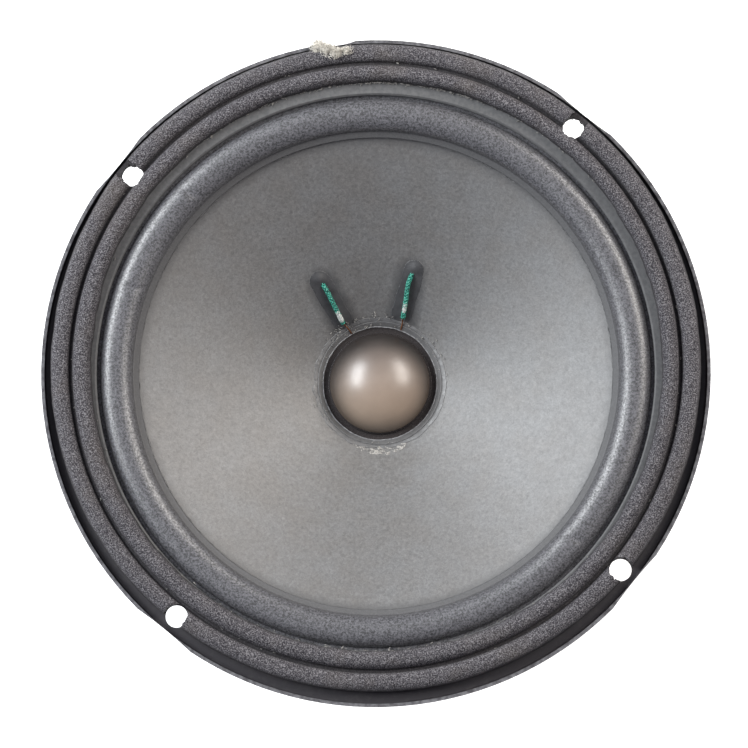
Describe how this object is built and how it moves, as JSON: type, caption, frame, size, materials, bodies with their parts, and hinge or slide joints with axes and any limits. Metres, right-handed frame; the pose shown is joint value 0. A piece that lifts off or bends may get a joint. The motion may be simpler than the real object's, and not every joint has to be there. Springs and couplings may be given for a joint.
{
  "type": "car speaker",
  "caption": "Round car loudspeaker driver: paper cone, foam roll surround, domed dust cap, foam rim gasket and pressed steel basket on a ferrite magnet.",
  "frame": {"origin": "centre of the bolt circle on the flange's rear face, which seats on the panel", "axes": "+Z along the driver's axis towards the listener; +Y towards the lead-out and the terminals; +X completes the right-handed frame"},
  "size_m": [0.165, 0.1649, 0.0686],
  "materials": {
    "frame_black": "satin black paint",
    "rim_foam": "coarse open-cell foam, matt",
    "surround_foam": "fine foam, matt with a slight sparkle",
    "pressboard": "matt",
    "cone_paper": "felted, matt",
    "dome": "glossy, smoky brown",
    "black_glue": "glossy",
    "amber_glue": "glossy",
    "former_foil": "satin",
    "kraft_collar": "matt",
    "coil_copper": "enamelled",
    "spider_cloth": "resin-treated weave",
    "plated_steel": "zinc plated",
    "ferrite": "matt, slightly rough",
    "rivet_steel": "bright",
    "screen_cloth": "woven",
    "board_brown": "paper laminate",
    "terminal_tin": "tin plated",
    "lead_braid": "braided, green with corrosion",
    "wire_copper": "tarnished",
    "solder": "dull bright",
    "black_dope": "satin"
  },
  "bodies": {
    "frame": {"basket": "frame_black", "gasket": "rim_foam", "clamp_ring": "pressboard", "top_plate": "plated_steel", "magnet": "ferrite", "yoke": "plated_steel", "plate_rivets": "rivet_steel", "vent_screen": "screen_cloth", "terminal_board": "board_brown", "board_rivets": "rivet_steel", "terminal_positive": "terminal_tin", "terminal_negative": "terminal_tin", "terminal_eyelets": "terminal_tin", "tinsel_lead_left": "lead_braid", "tinsel_lead_right": "lead_braid"},
    "cone_assembly": {"surround": "surround_foam", "cone": "cone_paper", "dust_cap": "dome", "dust_cap_glue": "black_glue", "coil_former": "former_foil", "coil_collar": "kraft_collar", "coil_winding": "coil_copper", "neck_glue": "amber_glue", "spider": "spider_cloth", "tinsel_end_left": "lead_braid", "tinsel_end_right": "lead_braid", "coil_wire_left": "wire_copper", "coil_wire_right": "wire_copper", "solder_joint_left": "solder", "solder_joint_right": "solder", "lead_dope_left": "black_dope", "lead_dope_right": "black_dope"}
  },
  "joints": [
    {"name": "cone_travel", "type": "slide", "parent": "frame", "child": "cone_assembly", "axis": [0, 0, 1], "range_m": [-0.004, 0.004], "stiffness_N_per_m": 1200, "deforming": ["surround", "spider", "tinsel_lead_left", "tinsel_lead_right"]}
  ]
}
